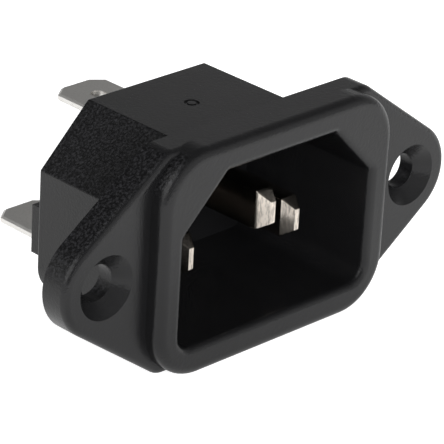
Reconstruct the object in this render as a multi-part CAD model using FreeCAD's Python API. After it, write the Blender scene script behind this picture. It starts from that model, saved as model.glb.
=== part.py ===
"""IEC 60320 style C14 appliance inlet for screw mounting in a panel, millimetres.

Frame: X to the right seen from the front, Y into the panel, Z up. The origin is midway between
the two fixing holes, on the flange face that seats against the panel, so everything in front of
the panel has a negative Y and everything behind it a positive Y.

The inlet is a one-piece moulded housing and three one-piece contact blades moulded into it.
"""
import FreeCAD, Part
import math
import os

# ---- socket: the keyed recess that takes the mating connector
CAVITY_WIDTH = 24.4
CAVITY_HEIGHT = 16.8
CAVITY_DEPTH = 16.5
CAVITY_CHAMFER = 5.2
CAVITY_CORNER_R = 1.7
CAVITY_KEY_R = 0.5
MOUTH_ROUND = 0.8

# ---- body behind the flange
SIDE_WALL = 1.1
TOP_WALL = 1.0
REAR_WALL = 2.25
BODY_CORNER_R = 3.0
BODY_EDGE_R = 0.25

# ---- flange, its ears and fixing holes
HOLE_PITCH = 40.0
HOLE_DIA = 3.6
SINK_DIA = 6.3
SINK_ANGLE = 90.0
EAR_R = 5.0
FLANGE_CORNER_INSET = 2.0
FLANGE_CORNER_R = 2.0
FLANGE_THICKNESS = 3.0
FLANGE_EDGE_ROUND = 0.7

# ---- collar round the mouth, in front of the flange
COLLAR_SIDE_LAND = 2.8
COLLAR_TOP_LAND = 2.95
COLLAR_OVERHANG = 0.15
COLLAR_RISE = 1.85
COLLAR_CORNER_R = 5.4
COLLAR_EDGE_ROUND = 1.0

# ---- contact blades
PIN_WIDTH = 2.0
PIN_HEIGHT = 4.0
PIN_SPACING = 14.0
EARTH_OFFSET = 4.0
LINE_PIN_RECESS = 4.4
EARTH_PIN_RECESS = 1.0
PIN_TIP_LENGTH = 1.35
PIN_TIP_SIDE = 0.72
PIN_TIP_TOP = 0.9
PIN_EDGE_BREAK = 0.15
TAB_WIDTH = 6.3
TAB_THICKNESS = 0.8
TAB_REACH = 10.0
LINE_TAB_STEP = 3.7
EARTH_TAB_STEP = 3.4
TAB_BEVEL_ACROSS = 1.3
TAB_BEVEL_ALONG = 1.0
TAB_HOLE_DIA = 1.65
TAB_HOLE_SETBACK = 3.45
TAB_EDGE_BREAK = 0.2
CRANK_COVER = 1.0

# ---- rear bosses round the contacts
BOSS_LENGTH = 3.6
BOSS_SIDE_WALL = 1.05
BOSS_HEIGHT = 5.0
BOSS_SKIN = 0.55
BOSS_EDGE_BREAK = 0.4

# ---- ejector mark sunk in the top of the body
MARK_DIA = 1.5
MARK_BORE_DIA = 0.85
MARK_DEPTH = 0.15
MARK_SETBACK = 6.6
MARK_X = -0.3

# ---- sizes and places that follow from the ones above
COLLAR_WIDTH = CAVITY_WIDTH + 2 * COLLAR_SIDE_LAND
COLLAR_HEIGHT = CAVITY_HEIGHT + 2 * COLLAR_TOP_LAND
FLANGE_HEIGHT = COLLAR_HEIGHT - 2 * COLLAR_OVERHANG
FLANGE_CORNER_X = COLLAR_WIDTH / 2 - FLANGE_CORNER_INSET
FLANGE_FRONT = -FLANGE_THICKNESS
COLLAR_FRONT = FLANGE_FRONT - COLLAR_RISE
CAVITY_FLOOR = COLLAR_FRONT + CAVITY_DEPTH
BODY_REAR = CAVITY_FLOOR + REAR_WALL
BOSS_REAR = BODY_REAR + BOSS_LENGTH
CRANK_REAR = BODY_REAR - CRANK_COVER
TAB_TIP = BODY_REAR + TAB_REACH
BODY_WIDTH = CAVITY_WIDTH + 2 * SIDE_WALL
BODY_HEIGHT = CAVITY_HEIGHT + 2 * TOP_WALL
BODY_CHAMFER = CAVITY_CHAMFER + TOP_WALL + (1 - math.sqrt(2)) * SIDE_WALL
HOLE_X = HOLE_PITCH / 2
LINE_PIN_Z = -EARTH_OFFSET / 2
EARTH_PIN_Z = EARTH_OFFSET / 2
LINE_TAB_Z = LINE_PIN_Z - LINE_TAB_STEP
EARTH_TAB_Z = EARTH_PIN_Z + EARTH_TAB_STEP


def point(x, y, z):
    return FreeCAD.Vector(x, y, z)


def polygon_face(corners, y):
    """Flat face at depth y with the given (x, z) corners."""
    ring = [point(x, y, z) for x, z in corners]
    return Part.Face(Part.makePolygon(ring + ring[:1]))


def extruded(face, length):
    return face.extrude(point(0, length, 0))


def along_y(edge):
    """True for a straight edge that runs front to back."""
    if not isinstance(edge.Curve, Part.Line):
        return False
    return abs(abs(edge.tangentAt(edge.FirstParameter).y) - 1) < 1e-6


def fillet_where(solid, radius, wanted):
    """Round every edge of the solid that wanted(edge) picks."""
    edges = [edge for edge in solid.Edges if wanted(edge)]
    return solid.makeFillet(radius, edges)


def in_plane(y):
    """Picks edges that lie wholly in the plane at depth y."""
    def picks(edge):
        box = edge.BoundBox
        return abs(box.YMin - y) < 1e-5 and abs(box.YMax - y) < 1e-5
    return picks


# ---------------------------------------------------------------- housing
def keyed_prism(width, height, chamfer, corner_r, key_r, front, rear):
    """Connector section: upper corners cut at 45 degrees, lower corners rounded."""
    half, top = width / 2, height / 2
    corners = [
        (-half, -top), (half, -top), (half, top - chamfer),
        (half - chamfer, top), (-half + chamfer, top), (-half, top - chamfer),
    ]
    prism = extruded(polygon_face(corners, front), rear - front)

    def lower_corner(edge):
        return along_y(edge) and edge.CenterOfMass.z < -top + 1e-6

    def key_corner(edge):
        return along_y(edge) and edge.CenterOfMass.z > top - chamfer - 1e-6

    return fillet_where(fillet_where(prism, corner_r, lower_corner), key_r, key_corner)


def ear_tangent():
    """Angle from +X of the taper's outward normal, at which the taper leaves the ear's arc."""
    reach = math.hypot(HOLE_X - FLANGE_CORNER_X, FLANGE_HEIGHT / 2)
    slope = math.atan2(-FLANGE_HEIGHT / 2, HOLE_X - FLANGE_CORNER_X)
    return slope + math.asin(EAR_R / reach) + math.pi / 2


def flange_outline():
    """Centre block that tapers tangentially to the round ear ends."""
    normal = ear_tangent()
    touch_x = HOLE_X + EAR_R * math.cos(normal)
    touch_z = EAR_R * math.sin(normal)
    half = FLANGE_HEIGHT / 2
    y = FLANGE_FRONT
    edges = []
    for side in (1, -1):
        upper = point(side * FLANGE_CORNER_X, y, side * half)
        leave = point(side * touch_x, y, side * touch_z)
        tip = point(side * (HOLE_X + EAR_R), y, 0)
        back = point(side * touch_x, y, -side * touch_z)
        lower = point(side * FLANGE_CORNER_X, y, -side * half)
        across = point(-side * FLANGE_CORNER_X, y, -side * half)
        edges.append(Part.LineSegment(upper, leave).toShape())
        edges.append(Part.Arc(leave, tip, back).toShape())
        edges.append(Part.LineSegment(back, lower).toShape())
        edges.append(Part.LineSegment(lower, across).toShape())
    return Part.Face(Part.Wire(edges))


def flange():
    plate = extruded(flange_outline(), FLANGE_THICKNESS)

    def block_corner(edge):
        return along_y(edge) and abs(abs(edge.CenterOfMass.x) - FLANGE_CORNER_X) < 1e-6

    plate = fillet_where(plate, FLANGE_CORNER_R, block_corner)
    return fillet_where(plate, FLANGE_EDGE_ROUND, in_plane(FLANGE_FRONT))


def collar():
    """Raised surround of the mouth, rounded on its front edge."""
    half, top = COLLAR_WIDTH / 2, COLLAR_HEIGHT / 2
    corners = [(-half, -top), (half, -top), (half, top), (-half, top)]
    block = extruded(polygon_face(corners, COLLAR_FRONT), COLLAR_RISE + FLANGE_EDGE_ROUND)
    block = fillet_where(block, COLLAR_CORNER_R, along_y)
    return fillet_where(block, COLLAR_EDGE_ROUND, in_plane(COLLAR_FRONT))


def fixing_hole(x):
    """Through-hole with a countersink for a flat-head screw, as one cutting tool."""
    rise = (SINK_DIA - HOLE_DIA) / 2 / math.tan(math.radians(SINK_ANGLE / 2))
    start = point(x, FLANGE_FRONT, 0)
    into_panel = point(0, 1, 0)
    drill = Part.makeCylinder(HOLE_DIA / 2, FLANGE_THICKNESS, start, into_panel)
    sink = Part.makeCone(SINK_DIA / 2, HOLE_DIA / 2, rise, start, into_panel)
    return drill.fuse(sink)


def rear_boss(x, tab_z):
    """Block on the rear wall that carries one contact from its pin out to its tab."""
    side = math.copysign(1, tab_z)
    outer = abs(tab_z) + TAB_THICKNESS / 2 + BOSS_SKIN
    half = TAB_WIDTH / 2 + BOSS_SIDE_WALL
    low, high = sorted((side * outer, side * (outer - BOSS_HEIGHT)))
    block = Part.makeBox(2 * half, BOSS_LENGTH + REAR_WALL / 2, high - low,
                         point(x - half, BODY_REAR - REAR_WALL / 2, low))
    return block.makeChamfer(BOSS_EDGE_BREAK, [e for e in block.Edges if in_plane(BOSS_REAR)(e)])


def ejector_mark():
    """Shallow ring left in the top of the body by the mould's ejector pin."""
    deep = point(MARK_X, BODY_REAR - MARK_SETBACK, BODY_HEIGHT / 2 - MARK_DEPTH)
    ring = Part.makeCylinder(MARK_DIA / 2, 2 * MARK_DEPTH, deep)
    return ring.cut(Part.makeCylinder(MARK_BORE_DIA / 2, 2 * MARK_DEPTH, deep))


def mouth_edge(edge):
    """Picks the socket's edges in the collar's front face."""
    box = edge.BoundBox
    inside = max(abs(box.XMin), abs(box.XMax)) < CAVITY_WIDTH / 2 + 1e-4
    return in_plane(COLLAR_FRONT)(edge) and inside


def housing():
    body = keyed_prism(BODY_WIDTH, BODY_HEIGHT, BODY_CHAMFER, BODY_CORNER_R, BODY_EDGE_R,
                       FLANGE_FRONT + FLANGE_EDGE_ROUND, BODY_REAR)
    body = fillet_where(body, BODY_EDGE_R, in_plane(BODY_REAR))
    shell = flange().fuse(collar()).fuse(body)
    for x, _, _, tab_z in CONTACTS.values():
        shell = shell.fuse(rear_boss(x, tab_z))
    socket = keyed_prism(CAVITY_WIDTH, CAVITY_HEIGHT, CAVITY_CHAMFER, CAVITY_CORNER_R,
                         CAVITY_KEY_R, COLLAR_FRONT, CAVITY_FLOOR)
    shell = shell.removeSplitter().cut(socket)
    shell = fillet_where(shell, MOUTH_ROUND, mouth_edge)
    for x in (-HOLE_X, HOLE_X):
        shell = shell.cut(fixing_hole(x))
    return shell.cut(ejector_mark())


# ---------------------------------------------------------------- contacts
def pin(x, z, recess):
    """Flat pin with broken edges and a tapered tip, from its tip to the crank."""
    half_w, half_h = PIN_WIDTH / 2, PIN_HEIGHT / 2
    tip = COLLAR_FRONT + recess
    shoulder = tip + PIN_TIP_LENGTH

    def section(y, w, h):
        """Rectangle with small flats across its corners."""
        b = PIN_EDGE_BREAK
        corners = [(-w + b, -h), (w - b, -h), (w, -h + b), (w, h - b),
                   (w - b, h), (-w + b, h), (-w, h - b), (-w, -h + b)]
        ring = [point(x + dx, y, z + dz) for dx, dz in corners]
        return Part.makePolygon(ring + ring[:1])

    nose = Part.makeLoft([section(tip, half_w - PIN_TIP_SIDE, half_h - PIN_TIP_TOP),
                          section(shoulder, half_w, half_h)], True, True)
    bar = Part.Face(section(shoulder, half_w, half_h)).extrude(point(0, CRANK_REAR - shoulder, 0))
    return nose.fuse(bar)


def tab(x, z, start):
    """Quick-connect tab with a bevelled end and its locking hole."""
    half = TAB_WIDTH / 2
    low = z - TAB_THICKNESS / 2
    outline = [
        (-half, start), (half, start), (half, TAB_TIP - TAB_BEVEL_ALONG),
        (half - TAB_BEVEL_ACROSS, TAB_TIP), (-half + TAB_BEVEL_ACROSS, TAB_TIP),
        (-half, TAB_TIP - TAB_BEVEL_ALONG),
    ]
    ring = [point(x + dx, y, low) for dx, y in outline]
    blade = Part.Face(Part.makePolygon(ring + ring[:1])).extrude(point(0, 0, TAB_THICKNESS))

    def rim(edge):
        """Picks the long edges of the upper and lower faces, apart from the root's."""
        flat = edge.BoundBox.ZLength < 1e-6
        return flat and edge.CenterOfMass.y > start + 1e-6

    blade = blade.makeChamfer(TAB_EDGE_BREAK, [edge for edge in blade.Edges if rim(edge)])
    hole = Part.makeCylinder(TAB_HOLE_DIA / 2, TAB_THICKNESS,
                             point(x, TAB_TIP - TAB_HOLE_SETBACK, low))
    return blade.cut(hole)


def contact(x, pin_z, recess, tab_z):
    """One blade: the pin, the crank buried in the rear wall, and the tab."""
    low, high = sorted((pin_z, tab_z + math.copysign(TAB_THICKNESS / 2, tab_z)))
    crank_front = CRANK_REAR - TAB_THICKNESS
    crank = Part.makeBox(TAB_WIDTH - 2 * TAB_EDGE_BREAK, TAB_THICKNESS, high - low,
                         point(x - TAB_WIDTH / 2 + TAB_EDGE_BREAK, crank_front, low))
    blade = pin(x, pin_z, recess).fuse(crank).fuse(tab(x, tab_z, crank_front))
    return blade.removeSplitter()


# each contact's place across, pin height, pin recess behind the collar's front, and tab height
CONTACTS = {
    "line_contact": (-PIN_SPACING / 2, LINE_PIN_Z, LINE_PIN_RECESS, LINE_TAB_Z),
    "neutral_contact": (PIN_SPACING / 2, LINE_PIN_Z, LINE_PIN_RECESS, LINE_TAB_Z),
    "earth_contact": (0.0, EARTH_PIN_Z, EARTH_PIN_RECESS, EARTH_TAB_Z),
}


def main():
    os.makedirs("parts", exist_ok=True)
    shell = housing()
    for name, place in CONTACTS.items():
        blade = contact(*place)
        shell = shell.cut(blade)
        blade.exportStep(f"parts/{name}.step")
    shell.exportStep("parts/housing.step")


main()
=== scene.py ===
"""Panel-mounted C14 appliance inlet: finishes, contact blades, studio and camera, in metres.

Frame: +X to the right seen from the front, +Y into the panel, +Z up. The origin is midway between the
two fixing holes, on the face that seats against the panel.
"""
from __future__ import annotations

import logging
import math
from dataclasses import dataclass, field
from enum import Enum
from typing import Any

import bpy
from mathutils import Matrix, Vector

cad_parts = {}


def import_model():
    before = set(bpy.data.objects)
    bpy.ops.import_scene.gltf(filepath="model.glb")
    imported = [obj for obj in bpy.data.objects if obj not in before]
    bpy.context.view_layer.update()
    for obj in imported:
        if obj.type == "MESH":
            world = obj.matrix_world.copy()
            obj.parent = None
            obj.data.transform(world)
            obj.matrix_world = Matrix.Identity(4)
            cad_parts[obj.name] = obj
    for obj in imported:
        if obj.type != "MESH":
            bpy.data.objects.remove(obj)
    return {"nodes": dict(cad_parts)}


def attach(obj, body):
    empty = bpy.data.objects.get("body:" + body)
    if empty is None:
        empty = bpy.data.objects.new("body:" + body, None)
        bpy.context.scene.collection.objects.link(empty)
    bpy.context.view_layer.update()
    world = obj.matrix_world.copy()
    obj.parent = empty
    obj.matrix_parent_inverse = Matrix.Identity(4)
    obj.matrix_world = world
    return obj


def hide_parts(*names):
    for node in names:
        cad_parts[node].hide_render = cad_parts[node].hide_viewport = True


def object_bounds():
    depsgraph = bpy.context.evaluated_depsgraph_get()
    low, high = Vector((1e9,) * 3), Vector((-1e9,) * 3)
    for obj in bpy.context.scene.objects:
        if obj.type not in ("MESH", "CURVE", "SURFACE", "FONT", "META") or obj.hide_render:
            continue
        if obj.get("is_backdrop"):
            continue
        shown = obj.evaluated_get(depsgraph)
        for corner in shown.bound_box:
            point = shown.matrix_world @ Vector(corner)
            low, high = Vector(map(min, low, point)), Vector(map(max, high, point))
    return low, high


LOG = logging.getLogger("inlet")
MM = 0.001
# the sockets of a Mix node share their names, so its two colours and its result go by index
COLOUR_A, COLOUR_B, COLOUR_OUT = 6, 7, 2
Tree = bpy.types.NodeTree
Node = bpy.types.Node
Socket = bpy.types.NodeSocket


# ------------------------------------------------------------------ helpers
def linear(hex_colour: str) -> tuple[float, float, float, float]:
    """Turns an sRGB colour such as "#1c1c1e" to linear RGBA.

    Args:
        hex_colour: Six hex digits after a hash.

    Returns:
        Linear red, green, blue and an alpha of 1.
    """
    parts = [int(hex_colour[i:i + 2], 16) / 255 for i in (1, 3, 5)]
    red, green, blue = (c / 12.92 if c <= 0.04045 else ((c + 0.055) / 1.055) ** 2.4 for c in parts)
    return red, green, blue, 1.0


def add_node(tree: Tree, kind: str, settings: dict[str, Any] | None = None,
             inputs: dict[str | int, Any] | None = None,
             stops: tuple[tuple[float, str], ...] = ()) -> Node:
    """Adds one node to a tree, sets it up and links what feeds it.

    Args:
        tree: The shader or geometry tree.
        kind: The node's bl_idname.
        settings: Attributes set on the node.
        inputs: Values or sockets by input name, or by index where names repeat. A socket, or each
            socket of a list, is linked.
        stops: Position and sRGB hex colour of each stop, in order, on a colour ramp.

    Returns:
        The new node.
    """
    node = tree.nodes.new(kind)
    for name, value in (settings or {}).items():
        setattr(node, name, value)
    for key, value in (inputs or {}).items():
        if isinstance(value, (list, Socket)):
            for source in value if isinstance(value, list) else [value]:
                tree.links.new(source, node.inputs[key])
        else:
            node.inputs[key].default_value = value
    for spare in stops[2:]:
        node.color_ramp.elements.new(spare[0])
    for element, (position, colour) in zip(node.color_ramp.elements if stops else (), stops):
        element.position, element.color = position, linear(colour)
    return node


# ------------------------------------------------------------------ finishes
@dataclass(frozen=True)
class MouldedNylon:
    """Black glass-filled polyamide, injection moulded in a spark-eroded tool.

    The tool's flat faces are stoned, so they come out satin with soft broad highlights. Its slanted and
    rounded upper faces keep the eroded grain, rougher and in relief, and there the colour paints a
    coarse
    sparkle: painted glints on the grain's crests and painted shade in its pits. Glass fibre near the
    skin mottles the colour a little.
    """

    name: str = "moulded_black_nylon"
    base: str = "#131314"
    pale: str = "#161617"
    # painted shade in the grain's pits and a painted glint on its crests
    painted_pit_shade: str = "#080809"
    painted_crest_glint: str = "#29292b"
    ior: float = 1.5
    roughness: float = 0.26
    eroded_roughness: float = 0.3
    # such a grain is about 0.1 mm, and it is drawn coarser so that it shows
    grain_mm: float = 0.25
    grain_height_mm: float = 0.05
    grain_detail: float = 2.0
    grain_jitter: float = 0.6
    # the levels of the grain's noise at which it is all painted pit shade and all painted crest glint
    grain_levels: tuple[float, float] = (0.44, 0.68)
    flow_mm: float = 3.0
    flow_detail: float = 3.0
    flow_jitter: float = 0.55
    flow_levels: tuple[float, float] = (0.3, 0.75)
    # how far a face looks up and to one side at once, from stoned to eroded, then the heights between
    # which the erosion sets in; these faces also take the painted glints and pit shade in their colour
    slant: tuple[float, float] = (0.26, 0.42)
    upper_mm: tuple[float, float] = (-4.0, -1.0)
    # the share of the grain's relief that a stoned face keeps
    stoned_share: float = 0.6

    def build(self) -> bpy.types.Material:
        """Builds the material.

        Returns:
            The finished material.
        """
        material = bpy.data.materials.new(self.name)
        material.use_nodes = True
        tree = material.node_tree
        tree.nodes.clear()
        surface = add_node(tree, "ShaderNodeTexCoord").outputs
        place = surface["Object"]
        grain = add_node(tree, "ShaderNodeTexNoise", inputs={
            "Vector": place, "Scale": 1 / (self.grain_mm * MM), "Detail": self.grain_detail,
            "Roughness": self.grain_jitter})
        flow = add_node(tree, "ShaderNodeTexNoise", inputs={
            "Vector": place, "Scale": 1 / (self.flow_mm * MM), "Detail": self.flow_detail,
            "Roughness": self.flow_jitter})
        skin = add_node(tree, "ShaderNodeValToRGB", inputs={"Fac": flow.outputs["Fac"]},
                        stops=tuple(zip(self.flow_levels, (self.base, self.pale))))
        # a slanted face looks both up and to one side, and so do the socket's lower corners, which are
        # stoned and are left out by their height; the mask gives the eroded roughness and relief, and
        # the painted glints and pit shade
        facing = add_node(tree, "ShaderNodeSeparateXYZ", inputs={"Vector": surface["Normal"]})
        sideways = add_node(tree, "ShaderNodeMath", {"operation": "ABSOLUTE"}, {
            0: facing.outputs["X"]})
        tilt = add_node(tree, "ShaderNodeMath", {"operation": "MULTIPLY"}, {
            0: sideways.outputs["Value"], 1: facing.outputs["Z"]})
        height = add_node(tree, "ShaderNodeSeparateXYZ", inputs={"Vector": place})
        upper = add_node(tree, "ShaderNodeMapRange", inputs={
            "Value": height.outputs["Z"], "From Min": self.upper_mm[0] * MM,
            "From Max": self.upper_mm[1] * MM})
        eroded_and_glint_mask = add_node(tree, "ShaderNodeMapRange", {"interpolation_type": "SMOOTHSTEP"}, {
            "Value": tilt.outputs["Value"], "From Min": self.slant[0], "From Max": self.slant[1],
            "To Max": upper.outputs["Result"]})
        # painted light in the grain: its pits are coloured darker as painted shade, and its crests
        # lighter as painted glints
        painted_pits_and_crests = add_node(tree, "ShaderNodeValToRGB", inputs={"Fac": grain.outputs["Fac"]},
                          stops=tuple(zip(self.grain_levels, (self.painted_pit_shade, self.painted_crest_glint))))
        # on faces that look up and to one side, the colour turns to the painted pit shade and crest
        # glint
        colour = add_node(tree, "ShaderNodeMix", {"data_type": "RGBA"}, {
            "Factor": eroded_and_glint_mask.outputs["Result"], COLOUR_A: skin.outputs["Color"],
            COLOUR_B: painted_pits_and_crests.outputs["Color"]})
        gloss = add_node(tree, "ShaderNodeMapRange", inputs={
            "Value": eroded_and_glint_mask.outputs["Result"], "To Min": self.roughness,
            "To Max": self.eroded_roughness})
        relief = add_node(tree, "ShaderNodeMapRange", inputs={
            "Value": eroded_and_glint_mask.outputs["Result"], "To Min": self.stoned_share})
        bump = add_node(tree, "ShaderNodeBump", inputs={
            "Height": grain.outputs["Fac"], "Strength": relief.outputs["Result"],
            "Distance": self.grain_height_mm * MM})
        shader = add_node(tree, "ShaderNodeBsdfPrincipled", inputs={
            "Base Color": colour.outputs[COLOUR_OUT], "Roughness": gloss.outputs["Result"],
            "IOR": self.ior, "Normal": bump.outputs["Normal"]})
        add_node(tree, "ShaderNodeOutputMaterial", inputs={"Surface": shader.outputs["BSDF"]})
        return material


@dataclass(frozen=True)
class NickelPlate:
    """Nickel-plated brass strip, stamped and barrel plated.

    Barrel plating leaves a slightly warm pale metal with short soft scuffs, which stand upright on the
    pins. The pins are coined smooth, and the tabs keep the strip's satin surface. The tabs are coloured
    near white, paler than the pins, which paints on them light that the lamps don't give their gloss.
    """

    name: str = "satin_nickel_plate"
    pin: str = "#f6ece0"
    # the tab's near white, paler than the pins' nickel, is painted light: the lamps don't show in its
    # gloss
    tab: str = "#fffdf9"
    # how much of its colour the metal keeps in a scuff
    pin_dulled: float = 0.6
    tab_dulled: float = 0.95
    pin_roughness: float = 0.15
    tab_roughness: float = 0.38
    # real scuffs are finer, and they are drawn coarser so that they show
    scuff_mm: float = 0.22
    scuff_depth_mm: float = 0.01
    scuff_strength: float = 0.3
    scuff_detail: float = 4.0
    scuff_jitter: float = 0.6
    # a scale below 1 on Z draws the scuffs out upright
    scuff_scale: tuple[float, float, float] = (1.0, 1.0, 0.22)
    # between these levels of the scuffs' noise the colour comes back, and the roughness changes
    dull_levels: tuple[float, float] = (0.38, 0.52)
    worn_levels: tuple[float, float] = (0.35, 0.7)
    worn_change: tuple[float, float] = (0.06, -0.04)
    # the depths behind the panel face between which the pin's finish turns to the tab's, with the tab's
    # painted paler colour
    change_mm: tuple[float, float] = (8.0, 12.0)

    def build(self) -> bpy.types.Material:
        """Builds the material.

        Returns:
            The finished material.
        """
        material = bpy.data.materials.new(self.name)
        material.use_nodes = True
        tree = material.node_tree
        tree.nodes.clear()
        place = add_node(tree, "ShaderNodeTexCoord").outputs["Object"]
        drawn = add_node(tree, "ShaderNodeMapping", inputs={"Vector": place, "Scale": self.scuff_scale})
        scuff = add_node(tree, "ShaderNodeTexNoise", inputs={
            "Vector": drawn.outputs["Vector"], "Scale": 1 / (self.scuff_mm * MM),
            "Detail": self.scuff_detail, "Roughness": self.scuff_jitter})
        depth = add_node(tree, "ShaderNodeSeparateXYZ", inputs={"Vector": place})
        along = add_node(tree, "ShaderNodeMapRange", inputs={
            "Value": depth.outputs["Y"], "From Min": self.change_mm[0] * MM,
            "From Max": self.change_mm[1] * MM})
        satin = add_node(tree, "ShaderNodeMapRange", inputs={
            "Value": along.outputs["Result"], "To Min": self.pin_roughness,
            "To Max": self.tab_roughness})
        # towards the tab the colour turns to the paler one, which is painted light
        plate = add_node(tree, "ShaderNodeMix", {"data_type": "RGBA"}, {
            "Factor": along.outputs["Result"], COLOUR_A: linear(self.pin), COLOUR_B: linear(self.tab)})
        dulled = add_node(tree, "ShaderNodeMapRange", inputs={
            "Value": along.outputs["Result"], "To Min": self.pin_dulled, "To Max": self.tab_dulled})
        rubbed = add_node(tree, "ShaderNodeMapRange", inputs={
            "Value": scuff.outputs["Fac"], "From Min": self.dull_levels[0],
            "From Max": self.dull_levels[1], "To Min": dulled.outputs["Result"]})
        colour = add_node(tree, "ShaderNodeVectorMath", {"operation": "SCALE"}, {
            "Vector": plate.outputs[COLOUR_OUT], "Scale": rubbed.outputs["Result"]})
        worn = add_node(tree, "ShaderNodeMapRange", inputs={
            "Value": scuff.outputs["Fac"], "From Min": self.worn_levels[0],
            "From Max": self.worn_levels[1], "To Min": self.worn_change[0],
            "To Max": self.worn_change[1]})
        gloss = add_node(tree, "ShaderNodeMath", {"operation": "ADD"}, {
            0: satin.outputs["Result"], 1: worn.outputs["Result"]})
        bump = add_node(tree, "ShaderNodeBump", inputs={
            "Height": scuff.outputs["Fac"], "Strength": self.scuff_strength,
            "Distance": self.scuff_depth_mm * MM})
        shader = add_node(tree, "ShaderNodeBsdfPrincipled", inputs={
            "Base Color": colour.outputs["Vector"], "Metallic": 1.0,
            "Roughness": gloss.outputs["Value"], "Normal": bump.outputs["Normal"]})
        add_node(tree, "ShaderNodeOutputMaterial", inputs={"Surface": shader.outputs["BSDF"]})
        return material


# ------------------------------------------------------------------ studio
@dataclass(frozen=True)
class Glow:
    """One soft patch of light in the surroundings, with its place and spread in degrees."""

    azimuth: float
    elevation: float
    inner: float
    outer: float
    strength: float

    def direction(self) -> tuple[float, float, float]:
        """Returns the unit vector to the patch, with azimuth 0 at +Y and 90 at +X."""
        turn, lift = math.radians(self.azimuth), math.radians(self.elevation)
        return math.sin(turn) * math.cos(lift), math.cos(turn) * math.cos(lift), math.sin(lift)


@dataclass(frozen=True)
class Lamp:
    """One soft square lamp aimed at the object: its place and side in metres and its power in watts."""

    name: str
    place: tuple[float, float, float]
    side: float
    power: float

    def build(self) -> None:
        """Makes the lamp, which lights the object and doesn't show in its gloss."""
        light = bpy.data.lights.new(self.name, "AREA")
        light.shape, light.size, light.energy = "SQUARE", self.side, self.power
        lamp = bpy.data.objects.new(self.name, light)
        lamp.location = self.place
        lamp.rotation_euler = (-Vector(self.place)).to_track_quat("-Z", "Y").to_euler()
        lamp.visible_glossy = False
        bpy.context.scene.collection.objects.link(lamp)


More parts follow.
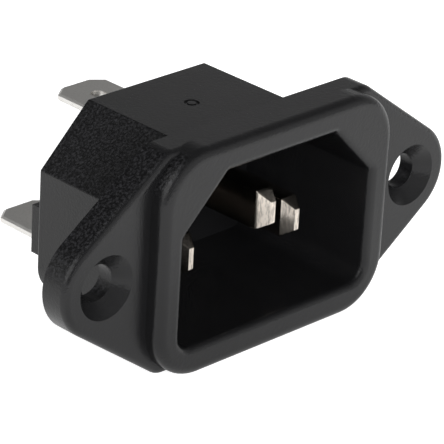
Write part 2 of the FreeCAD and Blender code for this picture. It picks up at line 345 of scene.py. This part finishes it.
@dataclass
class Studio:
    """White table under a dim ceiling, with a soft box, low glows round the horizon and two lamps."""

    # the height of the object's lowest point in metres, and the gap left under it
    lowest: float
    gap_mm: float = 0.2
    floor_half: float = 6.0
    paper: str = "#d2d2d2"
    white: str = "#ffffff"
    # the paper's glow to the camera, and in reflections at its left and at its right, dimmer at the left
    # as a painted falloff of light
    camera_glow: float = 0.82
    mirror_glow: tuple[float, float] = (0.2, 0.3)
    painted_falloff_mm: tuple[float, float] = (-14.0, 18.0)
    # the ceiling's grey, from the horizon at 0 to straight up at 1
    ceiling: tuple[tuple[float, str], ...] = (
        (0.0, "#5c5c5c"), (0.38, "#5e5e5e"), (0.62, "#4c4c4c"), (0.82, "#444444"))
    glows: tuple[Glow, ...] = (
        Glow(azimuth=-87, elevation=36, inner=10, outer=34, strength=1.35),
        Glow(azimuth=166, elevation=8, inner=5, outer=60, strength=0.48),
        Glow(azimuth=77, elevation=-8, inner=10, outer=60, strength=0.32),
        Glow(azimuth=-75, elevation=-6, inner=5, outer=60, strength=0.38))
    lamps: tuple[Lamp, ...] = (
        Lamp("soft_key", place=(0.45, 0.52, 0.55), side=0.25, power=5.0),
        Lamp("soft_fill", place=(-0.34, -0.58, 0.26), side=0.3, power=6.0))

    def floor(self) -> None:
        """Makes the pale floor, which stays white to the camera and keeps the object's shadow."""
        half, z = self.floor_half, self.lowest - self.gap_mm * MM
        mesh = bpy.data.meshes.new("studio_floor")
        mesh.from_pydata([(-half, -half, z), (half, -half, z), (half, half, z), (-half, half, z)],
                         [], [(0, 1, 2, 3)])
        floor = bpy.data.objects.new("studio_floor", mesh)
        bpy.context.scene.collection.objects.link(floor)
        material = bpy.data.materials.new("white_sweep_paper")
        material.use_nodes = True
        tree = material.node_tree
        tree.nodes.clear()
        path = add_node(tree, "ShaderNodeLightPath")
        mirrored = add_node(tree, "ShaderNodeMath", {"operation": "MAXIMUM"}, {
            0: path.outputs["Is Glossy Ray"], 1: path.outputs["Is Transmission Ray"]})
        seen = add_node(tree, "ShaderNodeMath", {"operation": "MULTIPLY"}, {
            0: path.outputs["Is Camera Ray"], 1: self.camera_glow})
        # a painted falloff of light: in reflections the paper's glow is dimmer towards the left, as if
        # away from the key lamp
        place = add_node(tree, "ShaderNodeSeparateXYZ", inputs={
            "Vector": add_node(tree, "ShaderNodeTexCoord").outputs["Object"]})
        painted_falloff = add_node(tree, "ShaderNodeMapRange", {"interpolation_type": "SMOOTHSTEP"}, {
            "Value": place.outputs["X"], "From Min": self.painted_falloff_mm[0] * MM,
            "From Max": self.painted_falloff_mm[1] * MM, "To Min": self.mirror_glow[0],
            "To Max": self.mirror_glow[1]})
        level = add_node(tree, "ShaderNodeMath", {"operation": "MULTIPLY_ADD"}, {
            0: mirrored.outputs["Value"], 1: painted_falloff.outputs["Result"], 2: seen.outputs["Value"]})
        paper = add_node(tree, "ShaderNodeBsdfDiffuse", inputs={"Color": linear(self.paper)})
        glow = add_node(tree, "ShaderNodeEmission", inputs={
            "Color": linear(self.white), "Strength": level.outputs["Value"]})
        both = add_node(tree, "ShaderNodeAddShader", inputs={
            0: paper.outputs["BSDF"], 1: glow.outputs["Emission"]})
        add_node(tree, "ShaderNodeOutputMaterial", inputs={"Surface": both.outputs["Shader"]})
        mesh.materials.append(material)
        floor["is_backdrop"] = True

    def world(self) -> None:
        """Makes the surroundings: a dim ceiling with the glows added to it, white to the camera."""
        world = bpy.data.worlds.new("studio")
        bpy.context.scene.world = world
        world.use_nodes = True
        tree = world.node_tree
        tree.nodes.clear()
        direction = add_node(tree, "ShaderNodeTexCoord").outputs["Generated"]
        height = add_node(tree, "ShaderNodeSeparateXYZ", inputs={"Vector": direction})
        light = add_node(tree, "ShaderNodeValToRGB", inputs={"Fac": height.outputs["Z"]},
                         stops=self.ceiling).outputs["Color"]
        for patch in self.glows:
            facing = add_node(tree, "ShaderNodeVectorMath", {"operation": "DOT_PRODUCT"}, {
                0: direction, 1: patch.direction()})
            spread = add_node(tree, "ShaderNodeMapRange", {"interpolation_type": "SMOOTHSTEP"}, {
                "Value": facing.outputs["Value"],
                "From Min": math.cos(math.radians(patch.outer)),
                "From Max": math.cos(math.radians(patch.inner)), "To Max": patch.strength})
            light = add_node(tree, "ShaderNodeMix", {"data_type": "RGBA", "blend_type": "ADD"}, {
                "Factor": 1.0, COLOUR_A: light,
                COLOUR_B: spread.outputs["Result"]}).outputs[COLOUR_OUT]
        path = add_node(tree, "ShaderNodeLightPath")
        shown = add_node(tree, "ShaderNodeMix", {"data_type": "RGBA"}, {
            "Factor": path.outputs["Is Camera Ray"], COLOUR_A: light, COLOUR_B: linear(self.white)})
        sky = add_node(tree, "ShaderNodeBackground", inputs={
            "Color": shown.outputs[COLOUR_OUT], "Strength": 1.0})
        add_node(tree, "ShaderNodeOutputWorld", inputs={"Surface": sky.outputs["Background"]})

    def build(self) -> None:
        """Makes the floor, the surroundings and the lamps."""
        self.floor()
        self.world()
        for lamp in self.lamps:
            lamp.build()


@dataclass
class Viewpoint:
    """Camera to the left of the inlet's front and above it, with its angles in degrees."""

    place_mm: tuple[float, float, float] = (-182.926, -175.607, 118.005)
    azimuth: float = 45.730
    elevation: float = -25.052
    roll: float = 3.350
    lens_mm: float = 241.75
    sensor_mm: float = 36.0
    clip_range: tuple[float, float] = (0.01, 20.0)

    def build(self) -> bpy.types.Object:
        """Makes the camera and gives it to the scene.

        Returns:
            The camera's object.
        """
        data = bpy.data.cameras.new("camera")
        data.lens, data.sensor_width = self.lens_mm, self.sensor_mm
        data.clip_start, data.clip_end = self.clip_range
        camera = bpy.data.objects.new("camera", data)
        # a camera turned by nothing looks down, so it is rolled, then raised, then turned to its azimuth
        camera.rotation_euler = (Matrix.Rotation(math.radians(-self.azimuth), 3, "Z")
                                 @ Matrix.Rotation(math.radians(90 + self.elevation), 3, "X")
                                 @ Matrix.Rotation(math.radians(self.roll), 3, "Z")).to_euler()
        camera.location = Vector(self.place_mm) * MM
        bpy.context.scene.collection.objects.link(camera)
        bpy.context.scene.camera = camera
        return camera


# ------------------------------------------------------------------ inlet
@dataclass
class Housing:
    """One-piece moulding: flange, collar, keyed socket, body and rear bosses."""

    node: bpy.types.Object

    def dress(self, finish: bpy.types.Material) -> None:
        """Puts the finish on the moulding."""
        self.node.data.materials.clear()
        self.node.data.materials.append(finish)


class Pole(Enum):
    """The three contacts, each with its node's name."""

    LINE = "line_contact"
    NEUTRAL = "neutral_contact"
    EARTH = "earth_contact"


@dataclass
class BladeShape:
    """Geometry Nodes tree for a contact blade: a pin with a tapered nose, a crank and a bevelled tab.

    The pin is a rounded section swept from its tip. The nose draws the section in, and its front edge is
    rounded. The tab is a plate whose end and rims are drawn in by its bevels.
    """

    name: str = "contact_blade"
    pin_stations: int = 44
    # the power by which the stations crowd towards the tip
    crowding: float = 3.0
    corner_steps: int = 4
    tab_steps: tuple[int, int, int] = (9, 60, 5)
    hole_sides: int = 32
    # the drill's length, in thicknesses of the tab
    drill_reach: float = 2.0
    crease_degrees: float = 20.0
    inputs: dict[str, str] = field(default_factory=lambda: {
        "Pin Tip": "NodeSocketVector", "Pin Length": "NodeSocketFloat",
        "Pin Width": "NodeSocketFloat", "Pin Height": "NodeSocketFloat",
        "Pin Corner": "NodeSocketFloat", "Nose Length": "NodeSocketFloat",
        "Nose Side": "NodeSocketFloat", "Nose Top": "NodeSocketFloat", "Nose Lip": "NodeSocketFloat",
        "Crank Centre": "NodeSocketVector", "Crank Size": "NodeSocketVector",
        "Tab Centre": "NodeSocketVector", "Tab Size": "NodeSocketVector",
        "Tab Width": "NodeSocketFloat", "Tab Length": "NodeSocketFloat",
        "Tab Thickness": "NodeSocketFloat", "Rim Start": "NodeSocketFloat",
        "Bevel Across": "NodeSocketFloat", "Bevel Along": "NodeSocketFloat",
        "Hole Centre": "NodeSocketVector", "Hole Radius": "NodeSocketFloat",
        "Finish": "NodeSocketMaterial"})

    def build(self) -> bpy.types.GeometryNodeTree:
        """Builds the tree.

        Returns:
            The geometry tree, ready for a modifier.
        """
        tree = bpy.data.node_groups.new(self.name, "GeometryNodeTree")
        tree.interface.new_socket("Geometry", in_out="OUTPUT", socket_type="NodeSocketGeometry")
        for name, kind in self.inputs.items():
            tree.interface.new_socket(name, in_out="INPUT", socket_type=kind)
        given = add_node(tree, "NodeGroupInput").outputs
        crank = add_node(tree, "GeometryNodeMeshCube", inputs={"Size": given["Crank Size"]})
        placed = add_node(tree, "GeometryNodeTransform", inputs={
            "Geometry": crank.outputs["Mesh"], "Translation": given["Crank Centre"]})
        blade = add_node(tree, "GeometryNodeMeshBoolean", {"operation": "UNION", "solver": "EXACT"}, {
            "Mesh 2": [self.pin(tree, given), placed.outputs["Geometry"], self.tab(tree, given)]})
        smooth = add_node(tree, "GeometryNodeSetShadeSmooth", {"domain": "FACE"}, {
            "Geometry": blade.outputs["Mesh"], "Shade Smooth": True})
        bend = add_node(tree, "GeometryNodeInputMeshEdgeAngle")
        sharp = add_node(tree, "FunctionNodeCompare", {"data_type": "FLOAT"}, {
            "A": bend.outputs["Unsigned Angle"], "B": math.radians(self.crease_degrees)})
        creased = add_node(tree, "GeometryNodeSetShadeSmooth", {"domain": "EDGE"}, {
            "Geometry": smooth.outputs["Geometry"], "Selection": sharp.outputs["Result"],
            "Shade Smooth": False})
        real = add_node(tree, "GeometryNodeRealizeInstances", inputs={
            "Geometry": creased.outputs["Geometry"]})
        plated = add_node(tree, "GeometryNodeSetMaterial", inputs={
            "Geometry": real.outputs["Geometry"], "Material": given["Finish"]})
        add_node(tree, "NodeGroupOutput", inputs={"Geometry": plated.outputs["Geometry"]})
        return tree

    def pin(self, tree: Tree, given: Any) -> Socket:
        """Sweeps the pin's section from its tip and draws in the nose.

        Args:
            tree: The tree being built.
            given: The tree's inputs.

        Returns:
            The pin's geometry.
        """
        section = add_node(tree, "GeometryNodeCurvePrimitiveQuadrilateral", inputs={
            "Width": given["Pin Width"], "Height": given["Pin Height"]})
        rounded = add_node(tree, "GeometryNodeFilletCurve", {"mode": "POLY"}, {
            "Curve": section.outputs["Curve"], "Count": self.corner_steps,
            "Radius": given["Pin Corner"], "Limit Radius": True})
        end = add_node(tree, "ShaderNodeCombineXYZ", inputs={"Y": given["Pin Length"]})
        line = add_node(tree, "GeometryNodeCurvePrimitiveLine", inputs={"End": end.outputs["Vector"]})
        path = add_node(tree, "GeometryNodeResampleCurve", inputs={
            "Curve": line.outputs["Curve"], "Count": self.pin_stations})
        bar = add_node(tree, "GeometryNodeCurveToMesh", inputs={
            "Curve": path.outputs["Curve"], "Profile Curve": rounded.outputs["Curve"],
            "Fill Caps": True})
        spot = add_node(tree, "ShaderNodeSeparateXYZ", inputs={
            "Vector": add_node(tree, "GeometryNodeInputPosition").outputs["Position"]})
        # stations crowd towards the tip, where the form changes
        share = add_node(tree, "ShaderNodeMath", {"operation": "DIVIDE"}, {
            0: spot.outputs["Y"], 1: given["Pin Length"]})
        crowded = add_node(tree, "ShaderNodeMath", {"operation": "POWER"}, {
            0: share.outputs["Value"], 1: self.crowding})
        depth = add_node(tree, "ShaderNodeMath", {"operation": "MULTIPLY"}, {
            0: crowded.outputs["Value"], 1: given["Pin Length"]})
        ahead = add_node(tree, "ShaderNodeMapRange", inputs={
            "Value": depth.outputs["Value"], "From Max": given["Nose Length"], "To Min": 1.0,
            "To Max": 0.0})
        front = add_node(tree, "ShaderNodeMapRange", inputs={
            "Value": depth.outputs["Value"], "From Max": given["Nose Lip"], "To Min": 1.0,
            "To Max": 0.0})
        squared = add_node(tree, "ShaderNodeMath", {"operation": "POWER"}, {
            0: front.outputs["Result"], 1: 2.0})
        rest = add_node(tree, "ShaderNodeMath", {"operation": "SUBTRACT"}, {
            0: 1.0, 1: squared.outputs["Value"]})
        arc = add_node(tree, "ShaderNodeMath", {"operation": "SQRT"}, {0: rest.outputs["Value"]})
        dip = add_node(tree, "ShaderNodeMath", {"operation": "SUBTRACT"}, {
            0: 1.0, 1: arc.outputs["Value"]})
        lip = add_node(tree, "ShaderNodeMath", {"operation": "MULTIPLY"}, {
            0: dip.outputs["Value"], 1: given["Nose Lip"]})
        drawn: dict[str, Socket] = {}
        for axis, size, inset in (("X", "Pin Width", "Nose Side"), ("Z", "Pin Height", "Nose Top")):
            pulled = add_node(tree, "ShaderNodeMath", {"operation": "MULTIPLY_ADD"}, {
                0: ahead.outputs["Result"], 1: given[inset], 2: lip.outputs["Value"]})
            half = add_node(tree, "ShaderNodeMath", {"operation": "MULTIPLY"}, {
                0: given[size], 1: 0.5})
            lost = add_node(tree, "ShaderNodeMath", {"operation": "DIVIDE"}, {
                0: pulled.outputs["Value"], 1: half.outputs["Value"]})
            kept = add_node(tree, "ShaderNodeMath", {"operation": "SUBTRACT"}, {
                0: 1.0, 1: lost.outputs["Value"]})
            drawn[axis] = add_node(tree, "ShaderNodeMath", {"operation": "MULTIPLY"}, {
                0: spot.outputs[axis], 1: kept.outputs["Value"]}).outputs["Value"]
        place = add_node(tree, "ShaderNodeCombineXYZ", inputs={
            "X": drawn["X"], "Y": depth.outputs["Value"], "Z": drawn["Z"]})
        return add_node(tree, "GeometryNodeSetPosition", inputs={
            "Geometry": bar.outputs["Mesh"], "Position": place.outputs["Vector"],
            "Offset": given["Pin Tip"]}).outputs["Geometry"]

    def tab(self, tree: Tree, given: Any) -> Socket:
        """Makes the tab's plate, draws in its bevels and cuts the locking hole.

        Args:
            tree: The tree being built.
            given: The tree's inputs.

        Returns:
            The tab's geometry.
        """
        across, along, through = self.tab_steps
        plate = add_node(tree, "GeometryNodeMeshCube", inputs={
            "Size": given["Tab Size"], "Vertices X": across, "Vertices Y": along,
            "Vertices Z": through})
        spot = add_node(tree, "ShaderNodeSeparateXYZ", inputs={
            "Vector": add_node(tree, "GeometryNodeInputPosition").outputs["Position"]})
        tip = add_node(tree, "ShaderNodeMath", {"operation": "MULTIPLY"}, {
            0: given["Tab Length"], 1: 0.5})
        begin = add_node(tree, "ShaderNodeMath", {"operation": "SUBTRACT"}, {
            0: tip.outputs["Value"], 1: given["Bevel Along"]})
        bevel = add_node(tree, "ShaderNodeMapRange", inputs={
            "Value": spot.outputs["Y"], "From Min": begin.outputs["Value"],
            "From Max": tip.outputs["Value"], "To Max": given["Bevel Across"]})
        height = add_node(tree, "ShaderNodeMath", {"operation": "ABSOLUTE"}, {0: spot.outputs["Z"]})
        rim = add_node(tree, "ShaderNodeMath", {"operation": "SUBTRACT"}, {
            0: height.outputs["Value"], 1: given["Rim Start"]})
        broken = add_node(tree, "ShaderNodeMath", {"operation": "MAXIMUM"}, {
            0: rim.outputs["Value"], 1: 0.0})
        pulled = add_node(tree, "ShaderNodeMath", {"operation": "ADD"}, {
            0: bevel.outputs["Result"], 1: broken.outputs["Value"]})
        side = add_node(tree, "ShaderNodeMath", {"operation": "MULTIPLY"}, {
            0: given["Tab Width"], 1: 0.5})
        drawn: dict[str, Socket] = {}
        for axis, inset, half in (("X", pulled, side), ("Y", broken, tip)):
            lost = add_node(tree, "ShaderNodeMath", {"operation": "DIVIDE"}, {
                0: inset.outputs["Value"], 1: half.outputs["Value"]})
            kept = add_node(tree, "ShaderNodeMath", {"operation": "SUBTRACT"}, {
                0: 1.0, 1: lost.outputs["Value"]})
            drawn[axis] = add_node(tree, "ShaderNodeMath", {"operation": "MULTIPLY"}, {
                0: spot.outputs[axis], 1: kept.outputs["Value"]}).outputs["Value"]
        place = add_node(tree, "ShaderNodeCombineXYZ", inputs={
            "X": drawn["X"], "Y": drawn["Y"], "Z": spot.outputs["Z"]})
        shaped = add_node(tree, "GeometryNodeSetPosition", inputs={
            "Geometry": plate.outputs["Mesh"], "Position": place.outputs["Vector"],
            "Offset": given["Tab Centre"]})
        reach = add_node(tree, "ShaderNodeMath", {"operation": "MULTIPLY"}, {
            0: given["Tab Thickness"], 1: self.drill_reach})
        drill = add_node(tree, "GeometryNodeMeshCylinder", inputs={
            "Vertices": self.hole_sides, "Radius": given["Hole Radius"],
            "Depth": reach.outputs["Value"]})
        set_drill = add_node(tree, "GeometryNodeTransform", inputs={
            "Geometry": drill.outputs["Mesh"], "Translation": given["Hole Centre"]})
        drilled = add_node(tree, "GeometryNodeMeshBoolean", {
            "operation": "DIFFERENCE", "solver": "EXACT"}, {
                "Mesh 1": shaped.outputs["Geometry"], "Mesh 2": set_drill.outputs["Geometry"]})
        return drilled.outputs["Mesh"]


@dataclass
class Contact:
    """One plated blade, in millimetres: pin, crank buried in the rear wall and quick-connect tab."""

    pole: Pole
    shape: bpy.types.GeometryNodeTree
    finish: bpy.types.Material
    x: float
    pin_z: float
    pin_tip: float
    tab_z: float
    pin_width: float = 2.0
    pin_height: float = 4.0
    pin_corner: float = 0.15
    nose_length: float = 1.35
    nose_side: float = 0.72
    nose_top: float = 0.9
    nose_lip: float = 0.06
    crank_front: float = 12.1
    tab_width: float = 6.3
    tab_thickness: float = 0.8
    tab_tip: float = 23.9
    bevel_across: float = 1.3
    bevel_along: float = 1.0
    rim_break: float = 0.2
    hole_diameter: float = 1.65
    hole_setback: float = 3.45

    def sizes(self) -> dict[str, Any]:
        """Works out the sizes that the tree asks for.

        Returns:
            The value of each of the tree's inputs but the finish, in metres.
        """
        outer = self.tab_z + math.copysign(self.tab_thickness / 2, self.tab_z)
        length = self.tab_tip - self.crank_front
        middle = self.crank_front + self.tab_thickness / 2
        millimetres = {
            "Pin Tip": (self.x, self.pin_tip, self.pin_z), "Pin Length": middle - self.pin_tip,
            "Pin Width": self.pin_width, "Pin Height": self.pin_height,
            "Pin Corner": self.pin_corner, "Nose Length": self.nose_length,
            "Nose Side": self.nose_side, "Nose Top": self.nose_top, "Nose Lip": self.nose_lip,
            "Crank Centre": (self.x, middle, (self.pin_z + outer) / 2),
            "Crank Size": (self.tab_width - 2 * self.rim_break, self.tab_thickness,
                           abs(outer - self.pin_z)),
            "Tab Centre": (self.x, self.crank_front + length / 2, self.tab_z),
            "Tab Size": (self.tab_width, length, self.tab_thickness),
            "Tab Width": self.tab_width, "Tab Length": length, "Tab Thickness": self.tab_thickness,
            "Rim Start": self.tab_thickness / 2 - self.rim_break,
            "Bevel Across": self.bevel_across, "Bevel Along": self.bevel_along,
            "Hole Centre": (self.x, self.tab_tip - self.hole_setback, self.tab_z),
            "Hole Radius": self.hole_diameter / 2}
        return {name: tuple(v * MM for v in value) if isinstance(value, tuple) else value * MM
                for name, value in millimetres.items()}

    def build(self) -> bpy.types.Object:
        """Makes the blade's plain mesh, which stands for its node.

        Returns:
            The blade's object.
        """
        name = self.pole.value.replace("contact", "blade")
        blade = bpy.data.objects.new(name, bpy.data.meshes.new(name))
        bpy.context.scene.collection.objects.link(blade)
        modifier = blade.modifiers.new(self.shape.name, "NODES")
        modifier.node_group = self.shape
        values = self.sizes() | {"Finish": self.finish}
        for socket in self.shape.interface.items_tree:
            if socket.in_out == "INPUT":
                modifier[socket.identifier] = values[socket.name]
        graph = bpy.context.evaluated_depsgraph_get()
        mesh = bpy.data.meshes.new_from_object(blade.evaluated_get(graph))
        blade.modifiers.clear()
        blade.data = mesh
        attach(blade, "root")
        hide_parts(self.pole.value)
        return blade


def main() -> None:
    """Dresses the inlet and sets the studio."""
    logging.basicConfig(level=logging.INFO, format="%(name)s: %(message)s")
    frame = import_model()
    cad_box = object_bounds()
    bpy.context.scene.view_settings.view_transform = "Standard"
    housing = Housing(frame["nodes"]["housing"])
    nylon = MouldedNylon().build()
    housing.dress(nylon)
    LOG.info("housing: %d faces in %s", len(housing.node.data.polygons), nylon.name)
    shape = BladeShape().build()
    nickel = NickelPlate().build()
    contacts = (
        Contact(Pole.LINE, shape, nickel, x=-7.0, pin_z=-2.0, pin_tip=-0.45, tab_z=-5.7),
        Contact(Pole.NEUTRAL, shape, nickel, x=7.0, pin_z=-2.0, pin_tip=-0.45, tab_z=-5.7),
        Contact(Pole.EARTH, shape, nickel, x=0.0, pin_z=2.0, pin_tip=-3.85, tab_z=5.4))
    for contact in contacts:
        blade = contact.build()
        LOG.info("%s: %d faces in %s", blade.name, len(blade.data.polygons), nickel.name)
    studio = Studio(lowest=cad_box[0].z)
    studio.build()
    LOG.info("studio: %d glows and %d lamps", len(studio.glows), len(studio.lamps))
    camera = Viewpoint().build()
    LOG.info("camera: %.0f mm lens", camera.data.lens)


if __name__ == "__main__":
    main()
